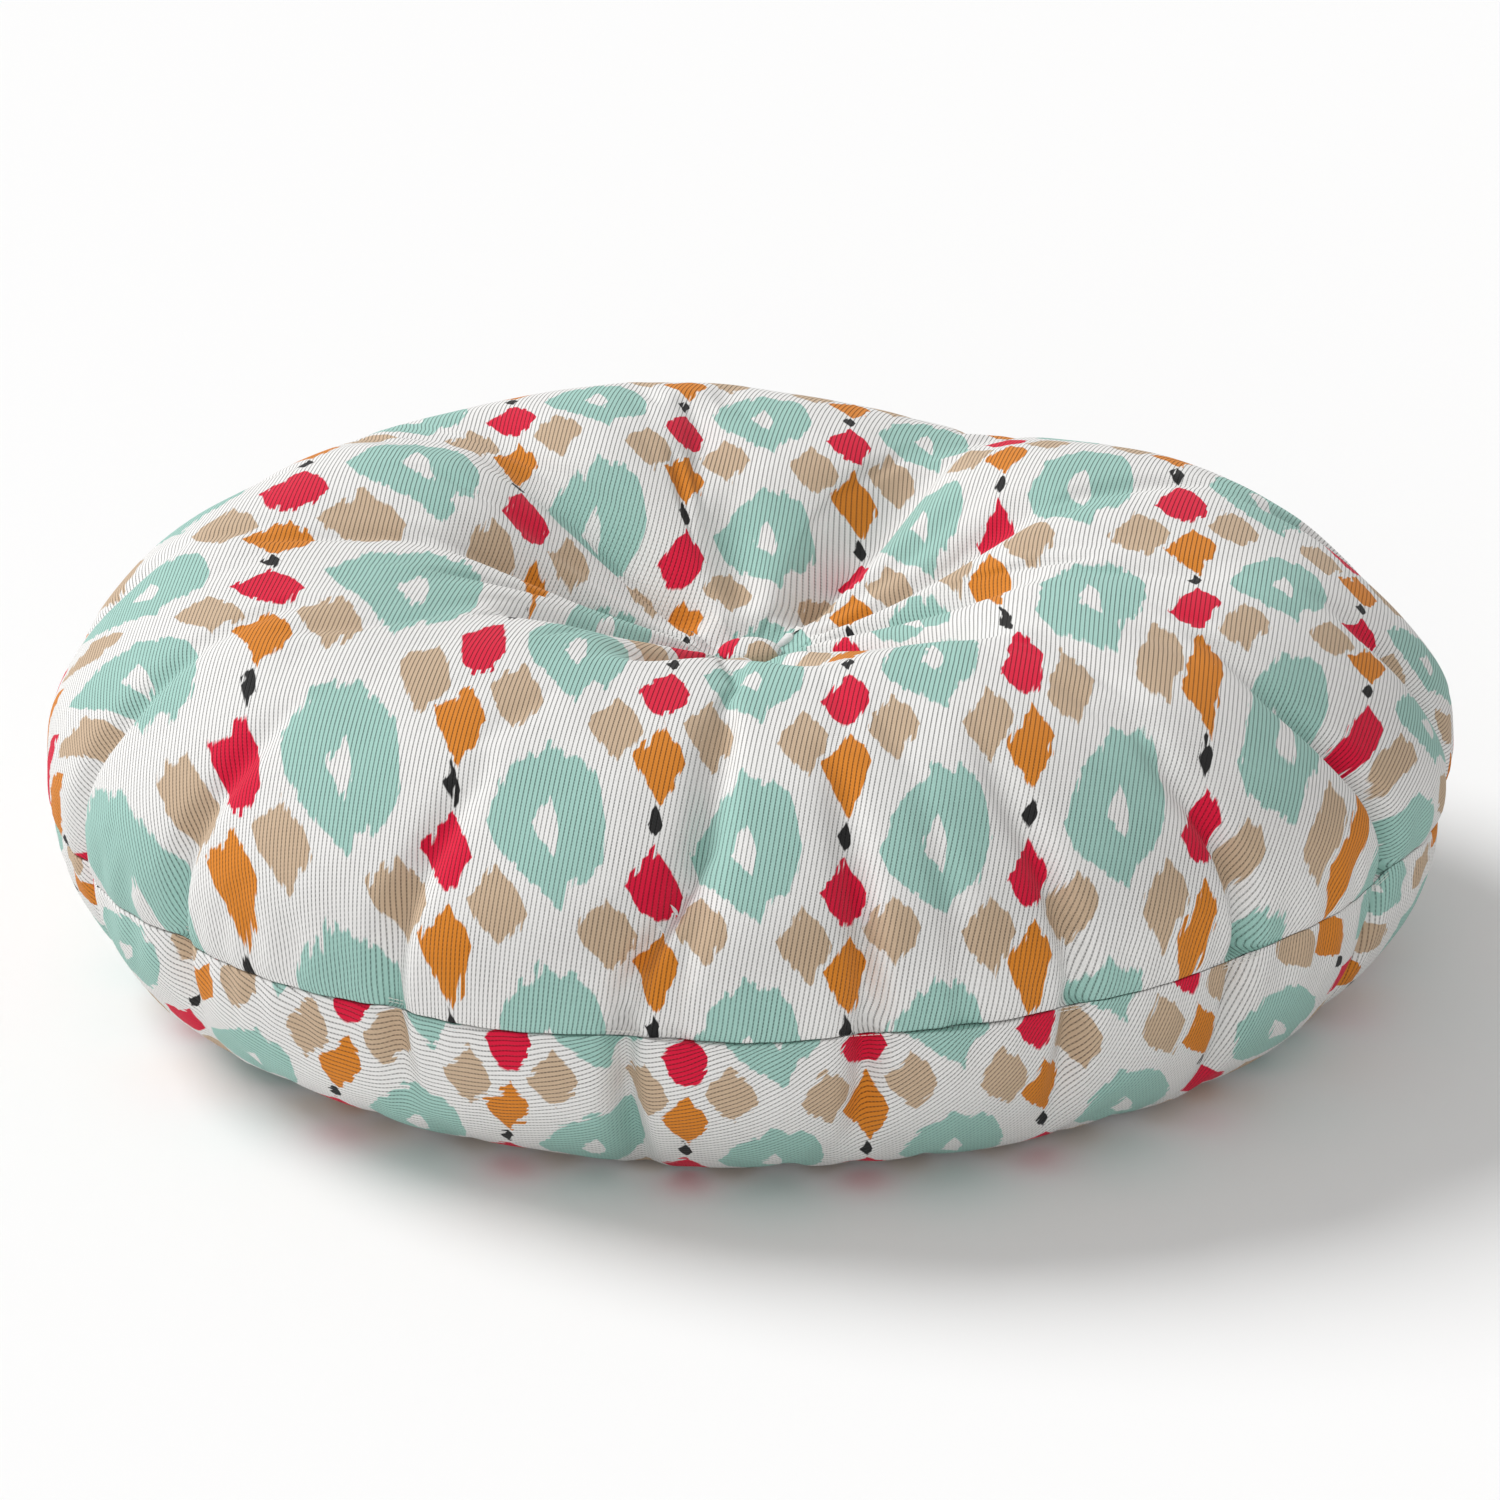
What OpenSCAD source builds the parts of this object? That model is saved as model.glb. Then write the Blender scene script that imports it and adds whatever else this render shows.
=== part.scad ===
// Round floor cushion: a printed cover over a fibre-filled inner cushion, drawn in at
// its centre by a buttoned tuft, with a plain perimeter seam and a zip in the rear of it.
// Millimetres, +Z up. The origin is on the floor under the centre. The zip is at +Y.

/* [Cushion] */
// Width across the filled cushion at its widest
cushion_d = 700; // [580:1:860]
// Height of the crest that runs around the tuft
crest_h = 225; // [188:1:275]
// Diameter of the crest, along its highest line
crest_d = 400; // [330:1:480]
// Diameter of the flat that rests on the floor
base_d = 524; // [430:1:560]
// Fullness of the side below the seam: 2 is an ellipse, and less is flatter
under_fullness = 1.6; // [1.3:0.1:2]
// Height of the perimeter seam
seam_h = 95; // [80:1:115]
// How far the seam is drawn in from the widest line, on each side
seam_draw = 5; // [3:0.5:10]
// Rise from the seam to the widest line
widest_rise = 13; // [10:1:25]

/* [Fabric] */
// Thickness of the printed cover fabric
cover_t = 1; // [0.6:0.1:1.6]
// Thickness of the inner cushion's lining
liner_t = 0.5; // [0.3:0.1:0.8]
// Gap between layers: cover, lining and filling, and zip tape and cover
layer_gap = 0.5; // [0.2:0.05:0.8]
// Width of the seam allowance that is turned inside
allowance = 7; // [4:0.5:8]
// Thickness of the pressed seam allowance
flange_t = 0.6; // [0.4:0.1:1]
// Width of the fabric that is turned in along the zip
hem_w = 8; // [6:0.5:10]
// Width of a row of stitching
stitch_w = 0.8; // [0.5:0.1:1.2]
// Height of a row of stitching
stitch_t = 0.4; // [0.2:0.05:0.6]

/* [Tuft] */
// Height of the cover under the top button
tuft_h = 158; // [125:1:180]
// Height of the cover above the floor at the bottom button
under_tuft_h = 22; // [16:1:40]
// Diameter of the hollow around the bottom button
under_hollow_d = 180; // [120:1:260]
// Diameter of each covered button
button_d = 32; // [26:1:44]
// Height of each covered button
button_rise = 7; // [5:0.5:10]
// Thickness of the button's metal shell and back plate
button_metal_t = 0.6; // [0.4:0.05:0.8]
// Diameter of the wire of the button's shank
shank_wire_d = 1.2; // [1:0.1:1.6]
// Diameter of the shank's loop, along the wire's middle
shank_loop_d = 5; // [4.8:0.1:6.5]
// Diameter of one strand of the tufting twine
twine_d = 1.2; // [0.8:0.1:1.4]
// Clearance around the twine where it hooks over the wire
twine_clear = 0.1; // [0.05:0.01:0.2]
// Diameter of the twine's knot
knot_d = 6; // [5:0.1:7]

/* [Zip] */
// Length of the zip's tapes, and of the slot in the seam
zip_l = 500; // [300:1:640]
// Height of the slot between the two fabric edges at the zip
slot_h = 10; // [9.5:0.5:14]
// Width of each zip tape
tape_w = 14; // [12:0.5:17]
// Thickness of each zip tape
tape_t = 0.6; // [0.4:0.05:0.8]
// Least depth of the tapes' outer face inside the seam line
tape_depth = 3; // [3:0.1:4]
// Gap between the edges of the two tapes
tape_split = 1.4; // [1.2:0.1:1.8]
// Diameter of each toothed coil
coil_d = 2.3; // [1.8:0.1:2.4]
// Length of each end stop
stop_l = 3; // [2:0.5:5]
// Space left between the slider and a stop at the end of its travel
stop_gap = 1; // [0.5:0.1:2]

/* [Slider] */
// Length of the slider along the zip
slider_l = 15; // [12:0.5:18]
// Height of the slider across the zip
slider_h = 9; // [8.5:0.1:9]
// Thickness of each of the slider's plates
plate_t = 1.2; // [0.8:0.1:1.5]
// Clearance between the slider and the tapes and coils
slider_clear = 0.4; // [0.3:0.05:0.5]
// Thickness of the post that joins the plates between the coils
post_t = 0.6; // [0.4:0.1:0.7]
// Length of the post along the zip
post_l = 4; // [3:0.5:6]
// Diameter of the pin that the pull tab turns on
pin_d = 1.6; // [1.2:0.1:1.8]
// Running clearance between the pin and the pull tab, on the radius
pin_clear = 0.05; // [0.02:0.01:0.1]
// Height of the pin's centre above the slider's outer plate
pin_stand = 2.2; // [2:0.1:3]
// Thickness of each lug that holds the pin
lug_t = 1.2; // [0.8:0.1:1.4]
// Length of the pull tab from its pin
pull_l = 28; // [20:1:36]
// Width of the pull tab
pull_w = 8; // [6:0.5:8.5]
// Thickness of the pull tab
pull_t = 1.2; // [0.8:0.1:1.5]
// Diameter of the finger hole in the pull tab
pull_hole_d = 3.6; // [2:0.1:4]

/* [Hidden] */
$fn = 96;

// Points along each long curve of the cushion's section
curve_steps = 28;
cushion_r = cushion_d / 2;
crest_r = crest_d / 2;
base_r = base_d / 2;
seam_r = cushion_r - seam_draw;
widest_h = seam_h + widest_rise;
under_hollow_r = under_hollow_d / 2;

// The button's seat is flat, and the shank passes through a hole in it
button_r = button_d / 2;
seat_r = button_r + 1;
shank_r = shank_loop_d / 2;
shank_hole_r = shank_r + shank_wire_d / 2 + 0.5;
filling_bore_r = shank_hole_r + 0.5;
back_r = button_r - 4;
twine_loop_r = shank_wire_d / 2 + twine_clear + twine_d / 2;

// The tapes run on past the stops by enough for the pull tab to lie in the slot at both ends
tail_l = pull_l - slider_l / 2 - stop_l - stop_gap + 2;
zip_angle = arc_degrees(zip_l, seam_r);
zip_from = 90 - zip_angle / 2;
zip_to = 90 + zip_angle / 2;
track_from = zip_from + arc_degrees(tail_l, seam_r);
track_to = zip_to - arc_degrees(tail_l, seam_r);

// The zip's track, from the outside in: slider plate, coil, tape, slider plate.
// The tape's lower edge lies behind the underside, which slopes in below the seam.
tape_out_r = min(seam_r - tape_depth, under_r(cover_t, cover_t, tape_split / 2 + tape_w) - layer_gap);
tape_in_r = tape_out_r - tape_t;
coil_top_r = tape_out_r + coil_d;
coil_mid = tape_split / 2 + coil_d / 2;
outer_plate_r = coil_top_r + slider_clear;
inner_plate_r = tape_in_r - slider_clear - plate_t;

// Radii of the two panels at the edges of the zip slot, halfway through the fabric
top_edge_r = seam_r + seam_draw * sin(acos(1 - slot_h / 2 / widest_rise)) - cover_t / 2;
bottom_edge_r = under_r(cover_t / 2, cover_t / 2, slot_h / 2);

// The inner cushion stays clear of the zip tapes, their stitching and the slider
tape_room = cushion_r - (tape_in_r - stitch_t - slider_clear);
slider_room = seam_r - (inner_plate_r - slider_clear);
liner_side = max(tape_room, slider_room);
liner_face = cover_t + layer_gap;
filling_side = liner_side + liner_t + layer_gap;
filling_face = liner_face + liner_t + layer_gap;
liner_thread_r = under_r(liner_side + liner_t, liner_face + liner_t, stitch_w) - 0.02;

// The slider rests at the closed end of the zip, near track_from
slider_angle = arc_degrees(slider_l, seam_r);
stop_angle = arc_degrees(stop_l, seam_r);
slider_from = track_from + stop_angle + arc_degrees(stop_gap, seam_r);
slider_mid = slider_from + slider_angle / 2;
pin_r = outer_plate_r + plate_t + pin_stand;
pull_eye_r = pin_d / 2 + pin_clear;
barrel_r = pull_eye_r + 0.7;
barrel_h = slider_h - 2 * lug_t - 0.4;

cover_colour = "#f4f1ec";
liner_colour = "#e9e9e6";
filling_colour = "#fafafa";
thread_colour = "#efeeea";
metal_colour = "#b9bbbd";
zip_tape_colour = "#e6e4df";
coil_colour = "#dddbd6";
twine_colour = "#d9d0bd";

function arc_degrees(length, radius) = length / radius * 180 / PI;
function reversed(points) = [for (i = [len(points) - 1 : -1 : 0]) points[i]];

// Section of the top from the seam, out to the widest line, over the crest and down to
// the tuft. side and face draw the line in from the sides and from the top.
function top_line(side, face, bore_r) = concat(
    [for (i = [0 : 6]) let (a = 15 * i)
        [seam_r + seam_draw * sin(a) - side, seam_h + widest_rise * (1 - cos(a))]],
    [for (i = [1 : curve_steps]) let (a = 90 * i / curve_steps)
        [crest_r + (cushion_r - side - crest_r) * cos(a), widest_h + (crest_h - face - widest_h) * sin(a)]],
    [for (i = [1 : curve_steps]) let (part = i / curve_steps)
        [crest_r + (seat_r - crest_r) * part, crest_h - face - (crest_h - tuft_h) * ease(part)]],
    [[bore_r, tuft_h - face]]
);

// Section of the underside from the seam, round to the flat base and up to the tuft
function bottom_line(side, face, bore_r) = concat(
    [for (i = [0 : curve_steps]) let (a = 90 * i / curve_steps, power = 2 / under_fullness)
        [base_r + (seam_r - side - base_r) * pow(cos(a), power),
            seam_h - (seam_h - face) * pow(sin(a), power)]],
    [for (i = [0 : curve_steps]) let (part = i / curve_steps)
        [under_hollow_r + (seat_r - under_hollow_r) * part, face + under_tuft_h * ease(part)]],
    [[bore_r, under_tuft_h + face]]
);

function ease(part) = (1 - cos(180 * part)) / 2;

// Radius of the underside's section at a drop below the seam
function under_r(side, face, drop) = base_r
    + (seam_r - side - base_r) * pow(1 - pow(drop / (seam_h - face), under_fullness), 1 / under_fullness);

// Quarter ellipse from the rim to the middle of a domed button
function dome_line(radius, rise) = [for (i = [0 : 10]) let (a = 9 * i) [radius * cos(a), rise * sin(a)]];

// A bar that follows the seam: radii, heights and angles, each from low to high
module arc_bar(radii, heights, angles) {
    rotate([0, 0, angles[0]])
        rotate_extrude(angle = angles[1] - angles[0])
            translate([radii[0], heights[0]])
                square([radii[1] - radii[0], heights[1] - heights[0]]);
}

module ring(radii, heights) {
    rotate_extrude()
        translate([radii[0], heights[0]])
            square([radii[1] - radii[0], heights[1] - heights[0]]);
}

// Turns a shape made above the seam into the same shape below it
module below_seam() {
    translate([0, 0, 2 * seam_h])
        mirror([0, 0, 1])
            children();
}

// Fabric edge at the zip: it turns in to the tape and runs up along it
module zip_hem(outer_r) {
    edge = seam_h + slot_h / 2;
    arc_bar([tape_out_r, outer_r], [edge, edge + cover_t], [zip_from, zip_to]);
    arc_bar([tape_out_r, tape_out_r + cover_t], [edge, edge + hem_w], [zip_from, zip_to]);
}

// Fabric turned in along the stitched part of the seam
module turned_allowance() {
    arc_bar([seam_r - cover_t - allowance, seam_r - cover_t / 2], [seam_h, seam_h + flange_t],
        [zip_to, zip_from + 360]);
}

module zip_slot() {
    arc_bar([seam_r - 20, seam_r + 20], [seam_h - slot_h / 2, seam_h + slot_h / 2], [zip_from, zip_to]);
}

module cover_top_panel() {
    color(cover_colour) {
        difference() {
            rotate_extrude()
                polygon(concat(top_line(0, 0, shank_hole_r),
                    reversed(top_line(cover_t, cover_t, shank_hole_r))));
            zip_slot();
        }
        zip_hem(top_edge_r);
        turned_allowance();
    }
}

module cover_bottom_panel() {
    color(cover_colour) {
        difference() {
            rotate_extrude()
                polygon(concat(bottom_line(0, 0, shank_hole_r),
                    reversed(bottom_line(cover_t, cover_t, shank_hole_r))));
            zip_slot();
        }
        below_seam() zip_hem(bottom_edge_r);
        below_seam() turned_allowance();
    }
}

// Needle thread on the upper allowance and bobbin thread on the lower one
module cover_seam_stitching() {
    middle_r = seam_r - cover_t - allowance / 2;
    rows = [middle_r - stitch_w / 2, middle_r + stitch_w / 2];
    heights = [seam_h + flange_t, seam_h + flange_t + stitch_t];
    color(thread_colour) {
        arc_bar(rows, heights, [zip_to, zip_from + 360]);
        below_seam() arc_bar(rows, heights, [zip_to, zip_from + 360]);
    }
}

module liner_top_panel() {
    color(liner_colour)
        rotate_extrude()
            polygon(concat(top_line(liner_side, liner_face, shank_hole_r),
                reversed(top_line(liner_side + liner_t, liner_face + liner_t, shank_hole_r))));
}

module liner_bottom_panel() {
    color(liner_colour)
        rotate_extrude()
            polygon(concat(bottom_line(liner_side, liner_face, shank_hole_r),
                reversed(bottom_line(liner_side + liner_t, liner_face + liner_t, shank_hole_r))));
}

// Thread laid along the inner side of the lining's seam, in a groove of the filling
module liner_seam_stitching() {
    color(thread_colour)
        ring([liner_thread_r - stitch_t, liner_thread_r], [seam_h - stitch_w, seam_h + stitch_w]);
}

module fibre_filling() {
    lower = bottom_line(filling_side, filling_face, filling_bore_r);
    groove_r = liner_thread_r - stitch_t - layer_gap;
    color(filling_colour)
        difference() {
            rotate_extrude()
                polygon(concat(top_line(filling_side, filling_face, filling_bore_r),
                    reversed([for (i = [1 : len(lower) - 1]) lower[i]])));
            ring([groove_r, seam_r], [seam_h - 2 * stitch_w, seam_h + 2 * stitch_w]);
        }
}

module on_top_seat() {
    translate([0, 0, tuft_h])
        children();
}

module on_bottom_seat() {
    translate([0, 0, under_tuft_h])
        mirror([0, 0, 1])
            children();
}

// Printed fabric drawn over the button's shell and turned under its rim
module button_fabric() {
    color(cover_colour) {
        translate([0, 0, button_metal_t])
            rotate_extrude()
                polygon(concat(dome_line(button_r, button_rise - button_metal_t),
                    reversed(dome_line(button_r - cover_t, button_rise - button_metal_t - cover_t))));
        ring([back_r + 0.2, button_r - cover_t / 2], [0, button_metal_t]);
    }
}

module button_shell() {
    outer_r = button_r - cover_t;
    rise = button_rise - button_metal_t - cover_t;
    color(metal_colour)
        translate([0, 0, button_metal_t])
            rotate_extrude()
                polygon(concat(dome_line(outer_r, rise),
                    reversed(dome_line(outer_r - button_metal_t, rise - button_metal_t))));
}

module button_back() {
    color(metal_colour)
        cylinder(r = back_r, h = button_metal_t);
}

module button_shank() {
    color(metal_colour)
        rotate([90, 0, 0])
            rotate([0, 0, 180])
                rotate_extrude(angle = 180)
                    translate([shank_r, 0])
                        circle(r = shank_wire_d / 2);
}

module top_button_fabric() {
    on_top_seat() button_fabric();
}

module top_button_shell() {
    on_top_seat() button_shell();
}

module top_button_back() {
    on_top_seat() button_back();
}

module top_button_shank() {
    on_top_seat() button_shank();
}

module bottom_button_fabric() {
    on_bottom_seat() button_fabric();
}

module bottom_button_shell() {
    on_bottom_seat() button_shell();
}

module bottom_button_back() {
    on_bottom_seat() button_back();
}

module bottom_button_shank() {
    on_bottom_seat() button_shank();
}

// The twine's turn over the upper shank; mirrored, it is the turn under the lower one
module twine_turn() {
    rotate([90, 0, 90])
        rotate_extrude(angle = 180)
            translate([twine_loop_r, 0])
                circle(d = twine_d);
}

module twine_strands() {
    low = under_tuft_h + shank_r;
    high = tuft_h - shank_r;
    for (side = [-1, 1])
        translate([0, side * twine_loop_r, low])
            cylinder(d = twine_d, h = high - low);
}

module tufting_twine() {
    color(twine_colour) {
        twine_strands();
        translate([0, 0, tuft_h - shank_r]) twine_turn();
        translate([0, 0, under_tuft_h + shank_r]) mirror([0, 0, 1]) twine_turn();
    }
}

module twine_knot() {
    knot_h = knot_d * 0.6;
    color(twine_colour)
        difference() {
            translate([0, 0, under_tuft_h + shank_r + shank_wire_d + knot_h])
                rotate_extrude()
                    polygon([for (i = [0 : 18]) let (a = 10 * i - 90)
                        [knot_d / 2 * cos(a), knot_h / 2 * sin(a)]]);
            twine_strands();
        }
}

module zip_tape() {
    arc_bar([tape_in_r, tape_out_r], [seam_h + tape_split / 2, seam_h + tape_split / 2 + tape_w],
        [zip_from, zip_to]);
}

module zip_upper_tape() {
    color(zip_tape_colour) zip_tape();
}

module zip_lower_tape() {
    color(zip_tape_colour) below_seam() zip_tape();
}

module zip_coil() {
    rotate([0, 0, track_from + stop_angle])
        rotate_extrude(angle = track_to - track_from - 2 * stop_angle)
            translate([tape_out_r + coil_d / 2, seam_h + coil_mid])
                circle(d = coil_d);
}

module zip_upper_coil() {
    color(coil_colour) zip_coil();
}

module zip_lower_coil() {
    color(coil_colour) below_seam() zip_coil();
}

// Two clips at the closed end, one on each tape
module zip_end_stops() {
    heights = [seam_h + tape_split / 2, seam_h + tape_split / 2 + coil_d];
    angles = [track_from, track_from + stop_angle];
    color(metal_colour) {
        arc_bar([tape_out_r, coil_top_r], heights, angles);
        below_seam() arc_bar([tape_out_r, coil_top_r], heights, angles);
    }
}

// One clip that ties both tapes at the end where the zip starts
module zip_start_stop() {
    reach = tape_split / 2 + coil_d;
    color(metal_colour)
        arc_bar([tape_out_r, coil_top_r], [seam_h - reach, seam_h + reach],
            [track_to - stop_angle, track_to]);
}

// Rows that hold the tapes to the turned-in fabric, on the inner side of the tapes
module zip_stitching() {
    middle = seam_h + slot_h / 2 + hem_w / 2;
    rows = [middle - stitch_w / 2, middle + stitch_w / 2];
    color(thread_colour) {
        arc_bar([tape_in_r - stitch_t, tape_in_r], rows, [zip_from, zip_to]);
        below_seam() arc_bar([tape_in_r - stitch_t, tape_in_r], rows, [zip_from, zip_to]);
    }
}

// Places a shape at the slider: +X out of the cushion, +Y along the zip, Z from the seam
module at_slider(radius) {
    rotate([0, 0, slider_mid])
        translate([radius, 0, seam_h])
            children();
}

module pin_lug() {
    difference() {
        union() {
            translate([-pin_stand - plate_t / 2, -pin_d, 0])
                cube([pin_stand + plate_t / 2, 2 * pin_d, lug_t]);
            cylinder(r = pin_d, h = lug_t);
        }
        translate([0, 0, -1])
            cylinder(d = pin_d, h = lug_t + 2);
    }
}

module zip_slider() {
    half_h = slider_h / 2;
    lip_in_r = outer_plate_r - coil_d * 0.7;
    post_angle = arc_degrees(post_l, seam_r);
    whole = [slider_from, slider_from + slider_angle];
    color(metal_colour) {
        arc_bar([outer_plate_r, outer_plate_r + plate_t], [seam_h - half_h, seam_h + half_h], whole);
        arc_bar([inner_plate_r, inner_plate_r + plate_t], [seam_h - half_h, seam_h + half_h], whole);
        arc_bar([inner_plate_r + plate_t / 2, outer_plate_r + plate_t / 2],
            [seam_h - post_t / 2, seam_h + post_t / 2], [slider_from, slider_from + post_angle]);
        arc_bar([lip_in_r, outer_plate_r + plate_t / 2], [seam_h + half_h - 0.6, seam_h + half_h], whole);
        arc_bar([lip_in_r, outer_plate_r + plate_t / 2], [seam_h - half_h, seam_h - half_h + 0.6], whole);
        at_slider(pin_r) translate([0, 0, half_h - lug_t]) pin_lug();
        at_slider(pin_r) translate([0, 0, -half_h]) pin_lug();
    }
}

module zip_pull_pin() {
    color(metal_colour)
        at_slider(pin_r)
            translate([0, 0, -slider_h / 2])
                cylinder(d = pin_d, h = slider_h);
}

// The tab lies along the zip: an eye on the pin, a neck, and a rounded grip with a hole
module zip_pull_tab() {
    grip_r = pull_w / 2;
    color(metal_colour)
        at_slider(pin_r)
            difference() {
                union() {
                    translate([0, 0, -barrel_h / 2])
                        cylinder(r = barrel_r, h = barrel_h);
                    translate([-pull_t / 2, 0, -barrel_h / 2])
                        cube([pull_t, pull_l - grip_r, barrel_h]);
                    translate([-pull_t / 2, pull_l - 2.5 * grip_r, -grip_r])
                        cube([pull_t, 1.5 * grip_r, pull_w]);
                    translate([-pull_t / 2, pull_l - 2.5 * grip_r, 0])
                        rotate([0, 90, 0])
                            cylinder(r = grip_r, h = pull_t);
                    translate([-pull_t / 2, pull_l - grip_r, 0])
                        rotate([0, 90, 0])
                            cylinder(r = grip_r, h = pull_t);
                }
                translate([0, 0, -pull_w])
                    cylinder(r = pull_eye_r, h = 2 * pull_w);
                translate([-pull_t, pull_l - grip_r, 0])
                    rotate([0, 90, 0])
                        cylinder(d = pull_hole_d, h = 2 * pull_t);
            }
}

cover_top_panel();
cover_bottom_panel();
cover_seam_stitching();
liner_top_panel();
liner_bottom_panel();
liner_seam_stitching();
fibre_filling();
top_button_fabric();
top_button_shell();
top_button_back();
top_button_shank();
bottom_button_fabric();
bottom_button_shell();
bottom_button_back();
bottom_button_shank();
tufting_twine();
twine_knot();
zip_upper_tape();
zip_lower_tape();
zip_upper_coil();
zip_lower_coil();
zip_end_stops();
zip_start_stop();
zip_stitching();
zip_slider();
zip_pull_pin();
zip_pull_tab();
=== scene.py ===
"""Looks of the round floor cushion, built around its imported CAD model. Metres, in the CAD frame."""

import math

import bpy
import numpy as np
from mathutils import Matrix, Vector, noise


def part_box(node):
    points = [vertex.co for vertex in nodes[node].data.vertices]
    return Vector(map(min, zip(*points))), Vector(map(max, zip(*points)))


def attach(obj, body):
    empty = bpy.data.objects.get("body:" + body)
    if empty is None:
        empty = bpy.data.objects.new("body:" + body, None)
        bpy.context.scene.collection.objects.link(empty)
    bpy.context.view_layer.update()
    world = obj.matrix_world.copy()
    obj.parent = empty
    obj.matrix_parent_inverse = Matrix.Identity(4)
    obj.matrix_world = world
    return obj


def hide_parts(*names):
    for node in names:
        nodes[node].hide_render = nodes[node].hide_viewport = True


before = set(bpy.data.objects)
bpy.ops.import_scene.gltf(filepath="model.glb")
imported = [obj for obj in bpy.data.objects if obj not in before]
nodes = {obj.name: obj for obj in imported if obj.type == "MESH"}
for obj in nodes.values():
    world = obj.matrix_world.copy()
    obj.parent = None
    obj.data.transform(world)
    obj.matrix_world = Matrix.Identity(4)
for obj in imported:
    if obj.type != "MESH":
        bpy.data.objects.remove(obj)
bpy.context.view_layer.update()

# Section of the filled cushion, as in the CAD
CUSHION_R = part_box("cover_top_panel")[1].x
CREST_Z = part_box("cover_top_panel")[1].z
TUFT_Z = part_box("top_button_back")[0].z
UNDER_TUFT_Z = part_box("bottom_button_back")[1].z
BUTTON_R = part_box("top_button_fabric")[1].x
BUTTON_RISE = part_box("top_button_fabric")[1].z - TUFT_Z
CREST_R = 0.200
BASE_R = 0.262
UNDER_HOLLOW_R = 0.090
UNDER_FULLNESS = 1.6
SEAM_Z = 0.095
SEAM_R = 0.345
FOLD_R = 0.3475
LIP_POINTS = 24
# Below 1, the hollow's wall is steeper near the crest, and above 1 near the tuft
HOLLOW_STEEPNESS = 1.15
WIDEST_Z = 0.108
SEAT_R = BUTTON_R + 0.001
BORE_R = 0.004

# The zip: a slot in the seam, centred on +Y, with the tapes behind it
ZIP_LENGTH = 0.500
SLOT_HALF = 0.005
TAPE_OUT_R = 0.34084
TAPE_T = 0.0006
TAPE_SPLIT_HALF = 0.0007
TAPE_W = 0.014
COIL_D = 0.0023
HEM_W = 0.008
ZIP_HALF_ANGLE = ZIP_LENGTH / SEAM_R / 2
COIL_HALF_ANGLE = ZIP_HALF_ANGLE - (0.0185 + 0.003) / SEAM_R

# Grid of the two panels
SEGMENTS = 360
TOP_RINGS = 62
BOTTOM_RINGS = 44
angles = np.arange(SEGMENTS) * 2 * math.pi / SEGMENTS


def smooth(value, low, high):
    """0 below low, 1 above high, with a smooth rise between."""
    part = np.clip((value - low) / (high - low), 0, 1)
    return part * part * (3 - 2 * part)


def bell(value, width):
    return np.exp(-(value / width) ** 2)


def turn_from(angle, degrees):
    """Signed angle from a direction given in degrees, in radians, from -pi to pi."""
    return (angle - math.radians(degrees) + math.pi) % (2 * math.pi) - math.pi


def top_section():
    """Points (r, z) from the seam, over the crest and down to the tuft."""
    lip = [(CUSHION_R - (CUSHION_R - FOLD_R) * (1 - p) ** 2, SEAM_Z + (WIDEST_Z - SEAM_Z) * p)
           for p in np.linspace(0, 1, LIP_POINTS)]
    side = [(CREST_R + (CUSHION_R - CREST_R) * math.cos(a), WIDEST_Z + (CREST_Z - WIDEST_Z) * math.sin(a))
            for a in np.linspace(0, math.pi / 2, 120)[1:]]
    depth = CREST_Z - TUFT_Z
    hollow = [(CREST_R + (SEAT_R - CREST_R) * p,
               CREST_Z - depth * (1 - math.cos(math.pi * p ** HOLLOW_STEEPNESS)) / 2)
              for p in np.linspace(0, 1, 120)[1:]]
    return np.array(lip + side + hollow + [(BORE_R, TUFT_Z)])


def bottom_section():
    """Points (r, z) from the seam down to the flat base and up to the lower tuft."""
    power = 2 / UNDER_FULLNESS
    side = [(BASE_R + (FOLD_R - BASE_R) * max(0, math.cos(a)) ** power,
             SEAM_Z - SEAM_Z * math.sin(a) ** power)
            for a in np.linspace(0, math.pi / 2, 160)]
    hollow = [(UNDER_HOLLOW_R + (SEAT_R - UNDER_HOLLOW_R) * p,
               UNDER_TUFT_Z * (1 - math.cos(math.pi * p)) / 2)
              for p in np.linspace(0, 1, 60)]
    return np.array(side + hollow + [(BORE_R, UNDER_TUFT_Z)])


# ---- Shape of the filled cover: slow swells, gathers and the pull of the tuft ----

# Direction in degrees (0 = +X, -90 = front), spread in degrees, rise of the crest in metres
CREST_SWELLS = [(-90, 48, -0.009), (115, 38, 0.006), (62, 24, -0.010), (-50, 40, -0.004),
                (165, 30, 0.004), (20, 22, 0.003)]
# Direction, spread, and how far the side stands out
SIDE_SWELLS = [(4, 28, 0.005), (-165, 30, 0.003), (-90, 40, 0.003), (-45, 18, -0.004), (150, 25, 0.004)]
# The seam rides up a little on the right and down on the left, away from the zip
SEAM_LIFT = 0.005
# The fabric dips in to the seam over a few millimetres
SEAM_CREASE = 0.0004
# Each panel stops this far from the middle of the seam
SEAM_GAP = 0.0002

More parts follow.
